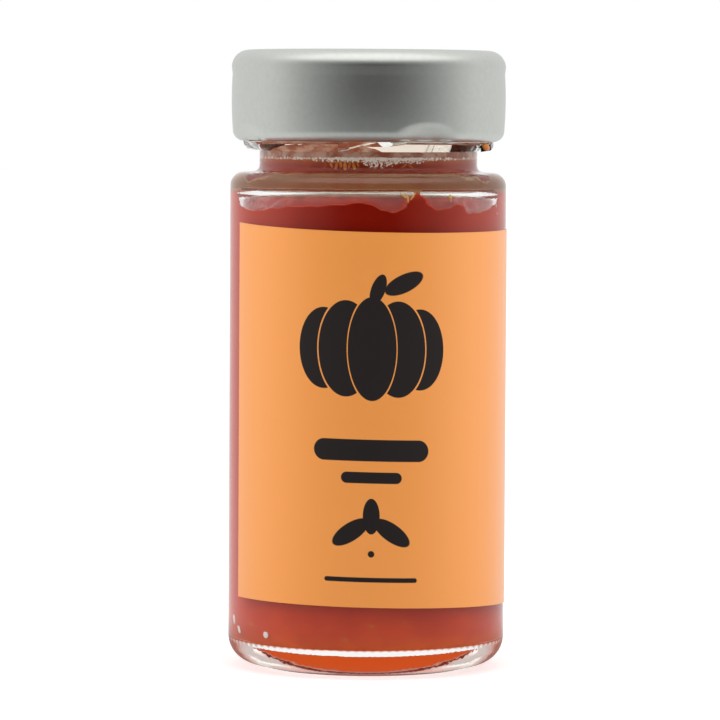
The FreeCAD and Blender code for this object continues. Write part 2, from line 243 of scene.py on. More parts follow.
jam = {
    # height and colour, with painted light and shade: lightest low down, where light comes up through
    # the base, darkening upwards behind the label and under the shoulder, where little light reaches, a
    # paler painted band at the shoulder for what the glass shows there, lighter again just under the
    # level, and the froth in the neck
    "levels": [(6.0, (0.74, 0.10, 0.012)), (9.0, (0.68, 0.060, 0.008)), (17.0, (0.58, 0.030, 0.006)),
               (55.0, (0.34, 0.013, 0.003)), (101.0, (0.30, 0.009, 0.002)),
               (102.9, (0.30, 0.012, 0.003)), (103.6, (0.34, 0.18, 0.08)),
               (104.45, (0.35, 0.19, 0.085)), (104.75, (0.24, 0.018, 0.004)),
               (109.0, (0.25, 0.020, 0.004)), (110.35, (0.38, 0.085, 0.018)),
               (110.6, (0.62, 0.38, 0.26))],
    # clouds in it: the colour is multiplied by a tone between these two
    "cloudScale": 90.0, "dullTone": (0.94, 0.9, 0.9), "warmTone": (1.1, 1.25, 1.2),
    # fine pulp shows near both ends, from none at the first height to full at the second
    "pulp": (0.62, 0.16, 0.02), "pulpScale": 420.0, "pulpShare": 0.5,
    "pulpLow": (20.0, 10.0), "pulpHigh": (102.0, 106.0),
    # painted light: the colour is lightened near the edge, where light comes through, less so in the
    # neck
    "side": (0.66, 0.052, 0.012), "sideFrom": 0.01, "sideTo": 0.30, "sidePower": 0.75,
    "sideNeck": 0.25, "neckFrom": 102.0, "neckTo": 104.0,
    # its underside, seen through the base, with painted light and shade: a disc painted lit, that glows,
    # a pale line, a ring of painted shade and the clear corner, which is painted pale, with a painted
    # reflection and a glow
    "base": (0.90, 0.12, 0.012), "baseGlow": 0.2, "baseEdge": (0.36, 0.042, 0.012),
    "pale": (0.95, 0.91, 0.86), "paleShine": 0.7, "paleGlow": 0.48, "paleRoughness": 0.1,
    "discRadius": 15.9, "lineRadius": 16.5, "ringRadius": 17.7, "baseTop": 6.5, "clearTop": 5.9,
    "radiusBlur": 0.35, "heightBlur": 0.15,
    # the inside of the glass, and how far the jam reaches into it, so that no air shows between them
    "wall": 27.2, "ceiling": 104.3, "ceilingFall": 0.5, "bore": 21.2, "level": 110.6,
    "floor": 5.4, "floorRise": 1.0, "heelRound": 6.5, "shoulderRound": 2.4, "mouthRound": 1.6,
    "reach": 0.12,
    # mesh: columns, longest side round the pockets and on the flat top, how far down the fine part goes
    "columns": 360, "fineSide": 0.16, "topSide": 1.0, "fineDepth": 6.0,
    "rimWidth": 0.35, "topRipple": 0.12,
    # air left under the shoulder: (degrees, how far down the wall)
    "pockets": [(-80, 0.0), (-74, 1.5), (-70, 3.6), (-62, 4.6), (-52, 4.5), (-44, 3.9), (-34, 3.5),
                (-24, 3.4), (-12, 3.0), (-2, 2.6), (2, 3.0), (7, 4.2), (11, 4.7), (15, 3.8),
                (19, 1.6), (22, 0.6), (25, 1.4), (28, 3.2), (32, 4.1), (37, 3.8), (42, 2.9),
                (45, 3.1), (49, 4.9), (54, 4.8), (62, 4.3), (70, 3.2), (74, 1.2), (77, 0.0),
                (92, 0.0), (100, 2.5), (112, 3.6), (128, 3.0), (140, 0.8), (152, 3.4), (170, 4.0),
                (188, 3.2), (203, 0.4), (214, 2.9), (232, 3.8), (250, 3.0), (262, 0.0)],
    "pocketReach": 3.2, "pocketFull": 3.0, "pocketRough": 0.25,
}


def makeJamColour():
    group, _, out = newGroup("jamColour", [], [
        ("Color", "Color"), ("Disc", "Float"), ("Ring", "Float"), ("Clear", "Float"),
        ("Side", "Float")])
    place = group.nodes.new("ShaderNodeTexCoord").outputs["Object"]
    xyz = addNode(group, "SeparateXYZ", place)
    height = maths(group, "DIVIDE", xyz.outputs[2], mm)
    flat = addNode(group, "CombineXYZ", xyz.outputs[0], xyz.outputs[1], 0.0).outputs[0]
    radius = maths(group, "DIVIDE", lengthOf(group, flat), mm)
    # the ramp holds the painted light and shade of the levels
    ramp = group.nodes.new("ShaderNodeValToRGB")
    top = jam["levels"][-1][0]
    stops = ramp.color_ramp.elements
    stops.remove(stops[1])
    for k, (level, color) in enumerate(jam["levels"]):
        stop = stops[0] if k == 0 else stops.new(level / top)
        stop.position = level / top
        stop.color = color + (1,)
    group.links.new(maths(group, "DIVIDE", height, top), ramp.inputs[0])
    cloud = mapRange(group, addNoise(group, place, jam["cloudScale"], 4.0), 0.35, 0.7)
    tone = mixColor(group, cloud, jam["dullTone"], jam["warmTone"])
    warm = mixColor(group, 1.0, ramp.outputs[0], tone, "MULTIPLY")
    fine = mapRange(group, addNoise(group, place, jam["pulpScale"]), 0.60, 0.72, 0.0, jam["pulpShare"])
    ends = maths(group, "MAXIMUM", mapRange(group, height, *jam["pulpLow"]),
                 mapRange(group, height, *jam["pulpHigh"]))
    pulpy = mixColor(group, maths(group, "MULTIPLY", fine, ends), warm, jam["pulp"])
    group.links.new(pulpy, out["Color"])

    def within(limit):
        blur = jam["radiusBlur"]
        return mapRange(group, radius, jam[limit] + blur, jam[limit] - blur)

    def under(limit):
        blur = jam["heightBlur"]
        return mapRange(group, height, jam[limit] + blur, jam[limit] - blur)

    # masks for the painted light and shade on the underside
    low, corner = under("baseTop"), under("clearTop")
    disc, line, ring = within("discRadius"), within("lineRadius"), within("ringRadius")
    group.links.new(maths(group, "MULTIPLY", disc, low), out["Disc"])
    band = maths(group, "SUBTRACT", ring, line)
    group.links.new(maths(group, "MULTIPLY", band, low), out["Ring"])
    clear = maths(group, "SUBTRACT", 1.0, maths(group, "ADD", disc, band))
    group.links.new(maths(group, "MULTIPLY", clear, corner, True), out["Clear"])
    side = mapRange(group, height, jam["neckFrom"], jam["neckTo"], 1.0, jam["sideNeck"])
    group.links.new(side, out["Side"])
    return group


jamColour = makeJamColour()


def makeJam(name, roughness, specular, sideShare, behindGlass):
    material, tree, shader = newMaterial(name)
    setShader(shader, roughness=roughness, specular=specular, ior=1.4)
    look = useGroup(tree, jamColour, {})
    # painted light: towards the edge the colour is lightened, where light comes through the jam
    facing = addNode(tree, "LayerWeight").outputs["Facing"]
    through = mapRange(tree, facing, jam["sideFrom"], jam["sideTo"], kind="LINEAR")
    through = maths(tree, "MULTIPLY", maths(tree, "POWER", through, jam["sidePower"]),
                    maths(tree, "MULTIPLY", look["Side"], sideShare))
    lit = mixColor(tree, 1.0, look["Color"], jam["side"], "LIGHTEN")
    color = mixColor(tree, through, look["Color"], lit)
    if behindGlass:
        # painted light and shade on the underside: the disc is painted lit and glows, the ring is
        # painted shade, and the clear corner is painted pale, with a painted reflection from its metal
        # and a glow
        color = mixColor(tree, look["Disc"], color, jam["base"])
        color = mixColor(tree, look["Ring"], color, jam["baseEdge"])
        clear = look["Clear"]
        color = mixColor(tree, clear, color, jam["pale"])
        tree.links.new(maths(tree, "MULTIPLY", clear, jam["paleShine"]), shader.inputs["Metallic"])
        tree.links.new(mixValue(tree, clear, roughness, jam["paleRoughness"]),
                       shader.inputs["Roughness"])
        glow = mixValue(tree, look["Disc"], maths(tree, "MULTIPLY", clear, jam["paleGlow"]),
                        jam["baseGlow"])
        tree.links.new(mixColor(tree, glow, (0, 0, 0), color), shader.inputs["Emission Color"])
        setShader(shader, emission=1.0)
    tree.links.new(color, shader.inputs["Base Color"])
    return material


jamBehindGlass = makeJam("jamBehindGlass", roughness=0.6, specular=0.0, sideShare=1.0,
                         behindGlass=True)
jamOpen = makeJam("jamOpen", roughness=0.16, specular=0.4, sideShare=0.35, behindGlass=False)


def pushedOut(points, amount):
    # each point moved square to the line through its neighbours, away from the jam
    moved = []
    for i, p in enumerate(points):
        along = (points[min(i + 1, len(points) - 1)] - points[max(i - 1, 0)]).normalized()
        moved.append(p + Vector((along.y, -along.x)) * amount)
    return moved


def insideProfile(steps=12):
    # the inside of the glass from the middle of its floor up to the jam's level in the neck
    ball = (jam["wall"] ** 2 + jam["floorRise"] ** 2) / (2 * jam["floorRise"])
    top = jam["floor"] + jam["floorRise"]

    def floorHeight(r):
        return top - ball + math.sqrt(ball ** 2 - r ** 2)

    # the rounding between floor and wall touches both
    blend, middle = jam["heelRound"], jam["wall"] - jam["heelRound"]
    centre = Vector((middle, top - ball + math.sqrt((ball + blend) ** 2 - middle ** 2)))
    touch = Vector((middle, centre.y - (top - ball))).normalized() * ball
    points = [Vector((touch.x * k / steps, floorHeight(touch.x * k / steps)))
              for k in range(steps + 1)]
    start = math.atan2(points[-1].y - centre.y, points[-1].x - centre.x)
    points += [centre + Vector((math.cos(start * k / steps), math.sin(start * k / steps))) * blend
               for k in range(steps - 1, -1, -1)]
    corner = jam["ceiling"] - jam["ceilingFall"]
    return points + roundedProfile([
        points[-1].to_tuple() + (0,), (jam["wall"], corner, jam["shoulderRound"]),
        (jam["bore"], jam["ceiling"], jam["mouthRound"]), (jam["bore"], jam["level"], 0)], 10)[1:]


def buildJam():
    outer, bore = jam["wall"] + jam["reach"], jam["bore"] + jam["reach"]
    corner = jam["ceiling"] - jam["ceilingFall"] + jam["reach"]
    level, lip = jam["level"], 0.01   # the flat top lies a hair above the level
    side = pushedOut(insideProfile(), jam["reach"])
    side[0].x = axisGap
    side += [Vector((bore, level)), Vector((bore - jam["rimWidth"], level + lip)),
             Vector((axisGap, level + lip))]
    wall = splitLong(side, jam["fineSide"], corner - jam["fineDepth"], level - 0.1)
    wall = splitLong(wall, jam["topSide"], level - 0.1, level + 1)
    isOpen = []

    def shape(r, z, angle):
        rough = noise.noise(Vector((math.sin(angle) * 9, math.cos(angle) * 9, z * 0.35)))
        deep = alongTable(jam["pockets"], math.degrees(angle))
        deep = max(0.0, deep + jam["pocketRough"] * rough * min(1, deep))
        gap = 0.0
        if deep > 0.05 and r > bore + 0.5 and z > corner - deep:
            rise = min(1.0, (z - (corner - deep)) / deep)
            reach = jam["pocketReach"] * min(1.0, deep / jam["pocketFull"]) * (1 + 0.3 * rough)
            inner = outer - reach * math.sqrt(1 - (1 - rise) ** 2)
            gap = max(0.0, r - inner)
            r = min(r, inner)
        elif z > level - lip:
            bump = Vector((r * math.sin(angle), r * math.cos(angle), 3)) * 0.4
            z += jam["topRipple"] * noise.noise(bump)
            gap = 1.0
        isOpen.append(gap > 0.05)
        return r, z, angle

    points, faces = turnedGrid(wall, jam["columns"], shape)
    finish = [1 if sum(isOpen[k] for k in face) > 2 else 0 for face in faces]
    return addPiece("jamInJar", points, faces, [jamBehindGlass, jamOpen], finish)


jamPiece = buildJam()
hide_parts("jam")
print("jam:", len(jamPiece.data.polygons), "faces")


# What floats in the jam and clings to the glass above it

def makeDrift():
    # a colour that drifts towards another one, by up to a share
    group, into, out = newGroup("colourDrift", [
        ("Color", "Color"), ("Other", "Color"), ("Share", "Float"), ("Scale", "Float")],
        [("Color", "Color")])
    place = group.nodes.new("ShaderNodeTexCoord").outputs["Object"]
    drift = mapRange(group, addNoise(group, place, into["Scale"]), 0.4, 0.62, 0.0, into["Share"])
    group.links.new(mixColor(group, drift, into["Color"], into["Other"]), out["Color"])
    return group


colourDrift = makeDrift()


def makeBitLook(name, color, roughness, share=0.0, scale=300.0, other=None, glow=None):
    # glow is painted light, an emission that stands in for light let in by the glass: (from height, to
    # height, amount, amount)
    material, tree, shader = newMaterial(name)
    setShader(shader, roughness=roughness, specular=0.3)
    color = useGroup(tree, colourDrift, {"Color": color, "Other": other or color, "Share": share,
                                         "Scale": scale})["Color"]
    tree.links.new(color, shader.inputs["Base Color"])
    if glow:
        place = tree.nodes.new("ShaderNodeTexCoord").outputs["Object"]
        height = maths(tree, "DIVIDE", addNode(tree, "SeparateXYZ", place).outputs[2], mm)
        tree.links.new(mixColor(tree, mapRange(tree, height, *glow), (0, 0, 0), color),
                       shader.inputs["Emission Color"])
        setShader(shader, emission=1.0)
    return material


def addBlob(points, faces, radius, height, degrees, across, tall, deep, lean=0.0):
    # a flattened bead whose middle lies at that radius
    start, turn, rows, sides = len(points), math.radians(degrees), 5, 8
    out = Vector((math.sin(turn), -math.cos(turn), 0))
    around = Vector((math.cos(turn), math.sin(turn), 0))
    middle = out * radius + Vector((0, 0, height))
    cosL, sinL = math.cos(lean), math.sin(lean)
    for k in range(rows + 1):
        tip = math.pi * (k + 0.04) / (rows + 0.08)
        for c in range(sides):
            side = 2 * math.pi * c / sides
            a = across * math.sin(tip) * math.cos(side)
            d = deep * math.sin(tip) * math.sin(side)
            u = tall * math.cos(tip)
            p = middle + around * (a * cosL - u * sinL) + Vector((0, 0, a * sinL + u * cosL)) + out * d
            points.append(p * mm)
    for k in range(rows):
        for c in range(sides):
            a, b = start + k * sides + c, start + k * sides + (c + 1) % sides
            faces.append((a, a + sides, b + sides, b))
    faces.append(tuple(range(start, start + sides)))
    faces.append(tuple(range(start + (rows + 1) * sides - 1, start + rows * sides - 1, -1)))


bits = {
    "seed": 11, "frothColor": (0.95, 0.87, 0.79), "frothCount": 760,
    "frothSize": (0.06, 0.25), "frothMiddle": 4, "frothSpread": 17,
    # degrees round, how thick the froth lies there below the jam's level
    "frothDepth": [(-90, 0.25), (-40, 0.4), (-28, 0.9), (-4, 0.8), (0, 2.0), (6, 2.3), (11, 1.9),
                   (18, 1.0), (28, 1.2), (36, 0.5), (60, 0.3), (90, 0.2), (180, 0.4)],
    # the rest are (degrees, height, half width, half height, lean)
    "pulpColor": (0.50, 0.13, 0.016), "pulpOther": (0.72, 0.27, 0.04), "pulpDeep": 0.16,
    "pulp": [(-21, 109.2, 0.30, 1.0, 0.3), (-18, 108.9, 0.42, 1.3, -0.15),
             (-15.5, 109.3, 0.35, 1.1, 0.1), (-13, 108.7, 0.5, 1.4, 0.05),
             (-10.5, 109.2, 0.34, 1.2, -0.2), (-8, 108.8, 0.42, 1.3, 0.12),
             (-6, 109.4, 0.25, 0.8, 0.4), (20, 109.0, 0.22, 0.9, -0.9), (24, 108.9, 0.2, 0.8, 0.8)],
    # a lump caught between the glass and a lug
    "lump": (71.0, 113.15, 2.3, 0.85, -0.2), "lumpRadius": 26.75, "lumpDeep": 0.6,
    "fibreColor": (0.85, 0.50, 0.13),
    "fibres": [(15.0, 102.9, 0.17, 0.9, 0.8), (17.2, 102.4, 0.22, 1.0, 0.15),
               (19.6, 102.7, 0.18, 1.0, -0.6), (16.2, 102.6, 0.3, 0.35, 0.3),
               (37.8, 102.6, 0.42, 0.5, 0.3), (38.3, 101.9, 0.16, 0.5, 0.0)],
    "bubbleColor": (0.90, 0.80, 0.74), "bubbleDeep": 0.14,
    "heelFrom": 11.9,   # about where the wall starts to curve in over the base
    "bubbles": [(-50, 8.4, 0.8, 0.8, 0.5), (-77, 10.6, 0.7, 1.3, 0.4), (-72, 8.6, 0.6, 1.1, 0.7),
                (71, 100.6, 0.14, 0.5, 0.1), (72.2, 98.8, 0.1, 0.3, 0.0),
                (-63, 101.4, 0.14, 0.14, 0), (-60, 100.7, 0.12, 0.12, 0), (-57.5, 101.8, 0.16, 0.14, 0),
                (-66, 100.3, 0.16, 0.16, 0), (-55, 100.4, 0.1, 0.1, 0), (150, 30.0, 0.4, 0.5, 0.2),
                (-120, 44.0, 0.35, 0.4, 0.1), (-108, 20.0, 0.5, 0.6, 0.3), (-100, 71.0, 0.3, 0.35, 0)],
}


def buildBits():
    pick = random.Random(bits["seed"])
    wall, bore = jam["wall"] + jam["reach"], jam["bore"] + jam["reach"]
    points, faces, kind = [], [], []

    def finish(number):
        kind.extend([number] * (len(faces) - len(kind)))

    for k in range(bits["frothCount"]):
        # most of it lies at the front, the rest all the way round
        turn = pick.gauss(bits["frothMiddle"], bits["frothSpread"]) if k % 4 else pick.uniform(-180, 180)
        low = alongTable(bits["frothDepth"], turn)
        drop = low * pick.random() ** 1.8
        size = pick.uniform(*bits["frothSize"]) * (1.2 - 0.5 * drop / max(low, 0.1))
        addBlob(points, faces, bore - size * 0.3, jam["level"] + 0.05 - drop, turn,
                size * pick.uniform(0.8, 1.5), size, size * 0.8, pick.uniform(-0.6, 0.6))
    finish(0)
    for turn, z, across, tall, lean in bits["pulp"]:
        addBlob(points, faces, bore - 0.05, z, turn, across, tall, bits["pulpDeep"], lean)
    turn, z, across, tall, lean = bits["lump"]
    addBlob(points, faces, bits["lumpRadius"], z, turn, across, tall, bits["lumpDeep"], lean)
    finish(1)
    for turn, z, across, tall, lean in bits["fibres"]:
        addBlob(points, faces, wall - 0.02, z, turn, across, tall, bits["pulpDeep"], lean)
    finish(2)
    for turn, z, across, tall, lean in bits["bubbles"]:
        radius = wall - max(0.0, bits["heelFrom"] - z) ** 2 / (2 * jam["heelRound"])
        addBlob(points, faces, radius - 0.02, z, turn, across, tall, bits["bubbleDeep"], lean)
    finish(3)
    looks = [makeBitLook("froth", bits["frothColor"], 0.35),
             makeBitLook("pulp", bits["pulpColor"], 0.4, share=0.8, scale=500.0,
                         other=bits["pulpOther"]),
             makeBitLook("fibre", bits["fibreColor"], 0.4),
             makeBitLook("bubble", bits["bubbleColor"], 0.2)]
    return addPiece("jamBits", points, faces, looks, kind)


smear = {
    # the smear's glow is painted light, brighter higher up
    "color": (0.34, 0.085, 0.035), "other": (0.60, 0.36, 0.26), "glow": (112.3, 113.3, 0.02, 0.32),
    "below": 0.4, "outside": 0.06, "thick": 0.25, "ragged": 0.35, "rows": 12, "columns": 300,
    # degrees, how high the jam clings to the bore
    "tops": [(-180, 111.7), (-110, 111.9), (-74, 112.6), (-66, 115.2), (-50, 116.4), (-24, 116.5),
             (-6, 116.2), (2, 114.6), (9, 112.9), (14, 112.0), (40, 111.8), (58, 112.0), (64, 113.4),
             (70, 114.8), (76, 113.6), (84, 112.0), (130, 111.8)],
}


def buildSmear():
    low, rows = jam["level"] - smear["below"], smear["rows"]
    outer = jam["bore"] + smear["outside"]
    profile = [Vector((outer, k / rows)) for k in range(rows + 1)]
    profile += [Vector((outer - smear["thick"], 1 - k / rows)) for k in range(rows + 1)]
    profile.append(profile[0])

    def shape(r, part, angle):
        ragged = noise.noise(Vector((math.sin(angle) * 14, math.cos(angle) * 14, 2.0)))
        top = alongTable(smear["tops"], math.degrees(angle)) + smear["ragged"] * ragged
        return r, low + (top - low) * part, angle

    points, faces = turnedGrid(profile, smear["columns"], shape)
    look = makeBitLook("smear", smear["color"], 0.35, share=0.9, scale=260.0,
                       other=smear["other"], glow=smear["glow"])
    return addPiece("jamSmear", points, faces, [look])


bitsPiece, smearPiece = buildBits(), buildSmear()
print("jam's froth, pulp and smear:",
      len(bitsPiece.data.polygons) + len(smearPiece.data.polygons), "faces")


# Lid

lid = {
    "color": (0.600, 0.618, 0.586), "roughness": 0.37,
    # the inside: pale lacquer, made paler as painted light, and a glow that is painted light
    "inside": (0.80, 0.77, 0.70), "insideRoughness": 0.4, "insideGlow": 0.75,
    "radius": 29.74, "crown": 0.34, "crownMiddle": 123.2, "crownHalf": 7.6,
    "top": 133.85, "panel": 18.4, "panelEdge": 19.9, "panelDrop": 0.8, "gauge": 0.3,
    "topRound": 3.7, "edge": 114.15, "edgeRound": 2.1, "curlInside": 27.45, "curlTop": 115.35,
    "columns": 360, "lugs": 4, "lugAngle": 26.0,
    "skirtFrom": 24.0, "curlTo": 28.3,   # radii where the skirt starts and the curl's inside ends
    # each pressing: half length, half height and depth of the hollow, how high its middle lies over
    # the edge, and how far the lug comes in
    "pressLong": 8.3, "pressTall": 3.7, "pressDepth": 1.3, "pressRise": 0.55, "lugIn": 1.0,
    # mesh: longest side, a finer one round the pressings, and how high that goes
    "longSide": 1.5, "fineSide": 0.4, "fineRise": 6.0,
}


def makeLidPaint():
    material, tree, shader = newMaterial("silverPaint")
    place = tree.nodes.new("ShaderNodeTexCoord").outputs["Object"]
    grain = mapRange(tree, addNoise(tree, place, 900.0), 0.3, 0.7, 0.97, 1.03, "LINEAR")
    silver = mixColor(tree, 1.0, lid["color"], grain, "MULTIPLY")
    # the inside is lacquered pale, partly real lacquer and partly painted light that lightens it under
    # the lid: there the plate faces the axis or down
    normal = tree.nodes.new("ShaderNodeNewGeometry").outputs["Normal"]
    flat = addNode(tree, "VectorMath", place, (1, 1, 0), operation="MULTIPLY").outputs[0]
    outward = addNode(tree, "VectorMath", flat, operation="NORMALIZE").outputs[0]
    inward = dotOf(tree, normal, outward)
    height = maths(tree, "DIVIDE", addNode(tree, "SeparateXYZ", place).outputs[2], mm)
    down = addNode(tree, "SeparateXYZ", normal).outputs[2]
    skirt = maths(tree, "MULTIPLY", mapRange(tree, inward, -0.3, -0.5),
                  mapRange(tree, down, 0.4, 0.25))
    ceiling = maths(tree, "MULTIPLY", mapRange(tree, down, -0.3, -0.5),
                    mapRange(tree, inward, 0.5, 0.3))
    inside = maths(tree, "MULTIPLY", maths(tree, "MAXIMUM", skirt, ceiling),
                   mapRange(tree, height, lid["curlTop"] - 0.1, lid["curlTop"] + 0.1))
    tree.links.new(mixColor(tree, inside, silver, lid["inside"]), shader.inputs["Base Color"])
    # painted light: the inside glows, standing in for daylight that the glass leads in under the lid
    glow = maths(tree, "MULTIPLY", inside, lid["insideGlow"])
    tree.links.new(mixColor(tree, glow, (0, 0, 0), lid["inside"]), shader.inputs["Emission Color"])
    setShader(shader, emission=1.0)
    tree.links.new(maths(tree, "SUBTRACT", 1.0, inside), shader.inputs["Metallic"])
    tree.links.new(mixValue(tree, inside, lid["roughness"], lid["insideRoughness"]),
                   shader.inputs["Roughness"])
    return material


def buildLid():
    low, inner = lid["edge"], lid["radius"] - lid["gauge"]
    top, under = lid["top"], lid["top"] - lid["gauge"]
    profile = roundedProfile([
        (axisGap, top - lid["panelDrop"], 0), (lid["panel"], top - lid["panelDrop"], 0.7),
        (lid["panelEdge"], top, 0.7), (lid["radius"], top, lid["topRound"]),
        (lid["radius"], low, lid["edgeRound"]), (lid["curlInside"], low, 0.12),
        (lid["curlInside"], lid["curlTop"], 0.3), (inner, lid["curlTop"] + 0.6, 0.3),
        (inner, under, lid["topRound"] - lid["gauge"]), (lid["panelEdge"] - 0.1, under, 0.5),
        (lid["panel"] - 0.1, under - lid["panelDrop"], 0.5),
        (axisGap, under - lid["panelDrop"], 0)], 10)
    profile = splitLong(profile, lid["fineSide"], low, low + lid["fineRise"])
    profile = splitLong(profile, lid["longSide"])
    spacing = 2 * math.pi / lid["lugs"]

    def shape(r, z, angle):
        if r < lid["skirtFrom"] or z > top - lid["topRound"]:
            return r, z, angle
        away = (z - lid["crownMiddle"]) / lid["crownHalf"]
        r -= lid["crown"] * min(1.3, away * away)
        turn = (angle - math.radians(lid["lugAngle"]) + spacing / 2) % spacing - spacing / 2
        across = turn * lid["radius"] / lid["pressLong"]
        up = (z - low - lid["pressRise"]) / lid["pressTall"]
        press = 1 - smooth(math.hypot(across, up), 0.12, 1.0)
        lug = 1 - smooth(abs(across), 0.35, 0.62)
        if r < lid["curlTo"] and z < lid["curlTop"] + 0.3:
            return r - lid["lugIn"] * lug, z, angle
        return r - lid["pressDepth"] * press, z, angle

    points, faces = turnedGrid(profile, lid["columns"], shape)
    return addPiece("tinLid", points, faces, [makeLidPaint()])


# Label

label = {
    "field": (0.945, 0.331, 0.046), "roughness": 0.4, "coat": 1.0, "coatRoughness": 0.37,
    "specular": 0.42, "ink": (0.010, 0.005, 0.005), "inkRoughness": 0.7,
    # the print: wrapped at this radius, a little askew, soft by this much on both sides of an outline
    "radius": 30.18, "tilt": 1.3, "middle": 1.0, "softEdge": 0.06,
    # the pumpkin: each lobe's offset across, half width and half height, and the line round a lobe
    "pumpkinUp": 70.5, "line": 0.42,
    "lobes": [(-10.4, 5.6, 8.6), (10.4, 5.6, 8.6), (-5.6, 6.0, 10.2), (5.6, 6.0, 10.2), (0, 5.2, 11.0)],
    # stem, leaf and the sprig's three leaves: across, up, half width, half height, turn
    "ovals": [(1.2, 83.1, 1.5, 3.4, -0.35), (6.8, 84.5, 4.6, 1.9, 0.45), (-4.4, 31.6, 4.6, 1.9, 0.6),
              (4.4, 31.6, 4.6, 1.9, -0.6), (0.0, 35.0, 1.8, 3.8, 0.0)],
    # bars, a dot and a thin line: up, half length, half height
    "bars": [(49.0, 12.5, 2.3), (43.2, 6.5, 1.2), (27.0, 0.7, 0.7), (21.5, 10.0, 0.5)],
}


def makePrintOval():
    group, into, out = newGroup("printOval", [
        ("Across", "Float"), ("Up", "Float"), ("Centre Across", "Float"), ("Centre Up", "Float"),
        ("Half Width", "Float"), ("Half Height", "Float"), ("Turn", "Float")],
        [("Mask", "Float"), ("Distance", "Float")])
    x = maths(group, "SUBTRACT", into["Across"], into["Centre Across"])
    y = maths(group, "SUBTRACT", into["Up"], into["Centre Up"])
    cosT, sinT = maths(group, "COSINE", into["Turn"]), maths(group, "SINE", into["Turn"])
    along = maths(group, "ADD", maths(group, "MULTIPLY", x, cosT), maths(group, "MULTIPLY", y, sinT))
    side = maths(group, "SUBTRACT", maths(group, "MULTIPLY", y, cosT),
                 maths(group, "MULTIPLY", x, sinT))

    def squared(value, half):
        share = maths(group, "ABSOLUTE", maths(group, "DIVIDE", value, half))
        return maths(group, "POWER", share, 2.0)

    reach = maths(group, "SQRT", maths(group, "ADD", squared(along, into["Half Width"]),
                                       squared(side, into["Half Height"])))
    # roughly millimetres outside the rim
    past = maths(group, "MULTIPLY", maths(group, "SUBTRACT", reach, 1.0), into["Half Height"])
    mask = mapRange(group, past, label["softEdge"], -label["softEdge"], kind="LINEAR")
    group.links.new(mask, out["Mask"])
    group.links.new(past, out["Distance"])
    return group


def makePrintBar():
    group, into, out = newGroup("printBar", [
        ("Across", "Float"), ("Up", "Float"), ("Centre Across", "Float"), ("Centre Up", "Float"),
        ("Half Length", "Float"), ("Half Height", "Float")], [("Mask", "Float")])
    x = maths(group, "ABSOLUTE", maths(group, "SUBTRACT", into["Across"], into["Centre Across"]))
    y = maths(group, "ABSOLUTE", maths(group, "SUBTRACT", into["Up"], into["Centre Up"]))
    straight = maths(group, "SUBTRACT", into["Half Length"], into["Half Height"])
    end = maths(group, "MAXIMUM", maths(group, "SUBTRACT", x, straight), 0.0)
    reach = maths(group, "SQRT", maths(group, "ADD", maths(group, "POWER", end, 2.0),
                                       maths(group, "POWER", y, 2.0)))
    past = maths(group, "SUBTRACT", reach, into["Half Height"])
    mask = mapRange(group, past, label["softEdge"], -label["softEdge"], kind="LINEAR")
    group.links.new(mask, out["Mask"])
    return group


printOval, printBar = makePrintOval(), makePrintBar()


def makeLabel():
    material, tree, shader = newMaterial("printedPaper")
    setShader(shader, specular=label["specular"], coatRoughness=label["coatRoughness"])
    place = tree.nodes.new("ShaderNodeTexCoord").outputs["Object"]
    xyz = addNode(tree, "SeparateXYZ", place)
    angle = maths(tree, "ARCTAN2", xyz.outputs[0], maths(tree, "MULTIPLY", xyz.outputs[1], -1.0))
    across = maths(tree, "MULTIPLY", angle, label["radius"])
    up = maths(tree, "ADD", maths(tree, "DIVIDE", xyz.outputs[2], mm),
               maths(tree, "MULTIPLY", across, math.tan(math.radians(label["tilt"]))))

    def oval(shift, height, halfWidth, halfHeight, turn=0.0):
        return useGroup(tree, printOval, {
            "Across": across, "Up": up, "Centre Across": label["middle"] + shift,
            "Centre Up": height, "Half Width": halfWidth, "Half Height": halfHeight, "Turn": turn})

    def bar(height, halfLength, halfHeight):
        return useGroup(tree, printBar, {
            "Across": across, "Up": up, "Centre Across": label["middle"], "Centre Up": height,
            "Half Length": halfLength, "Half Height": halfHeight})

    ink = None
    for shift, halfWidth, halfHeight in label["lobes"]:
        lobe = oval(shift, label["pumpkinUp"], halfWidth, halfHeight)
        if ink is None:
            ink = lobe["Mask"]
            continue
        # each nearer lobe has a thin open line round it
        gap = mapRange(tree, lobe["Distance"], label["line"] + 0.1, label["line"], kind="LINEAR")
        ink = maths(tree, "MAXIMUM", maths(tree, "SUBTRACT", ink, gap, True), lobe["Mask"])
    for shape in [oval(*row) for row in label["ovals"]] + [bar(*row) for row in label["bars"]]:
        ink = maths(tree, "MAXIMUM", ink, shape["Mask"])
    tree.links.new(mixColor(tree, ink, label["field"], label["ink"]), shader.inputs["Base Color"])
    tree.links.new(mixValue(tree, ink, label["coat"], 0.0), shader.inputs["Coat Weight"])
    tree.links.new(mixValue(tree, ink, label["roughness"], label["inkRoughness"]),
                   shader.inputs["Roughness"])
    return material


def dress(name, material):
    mesh = nodes[name].data
    if not mesh.materials:
        mesh.materials.append(material)
    for i in range(len(mesh.materials)):
        mesh.materials[i] = material


dress("jar_glass", makeGlass())
lidPiece = buildLid()
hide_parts("lid")
dress("label", makeLabel())
print("glass, lid and label finished")


# Floor, background, lamps and camera

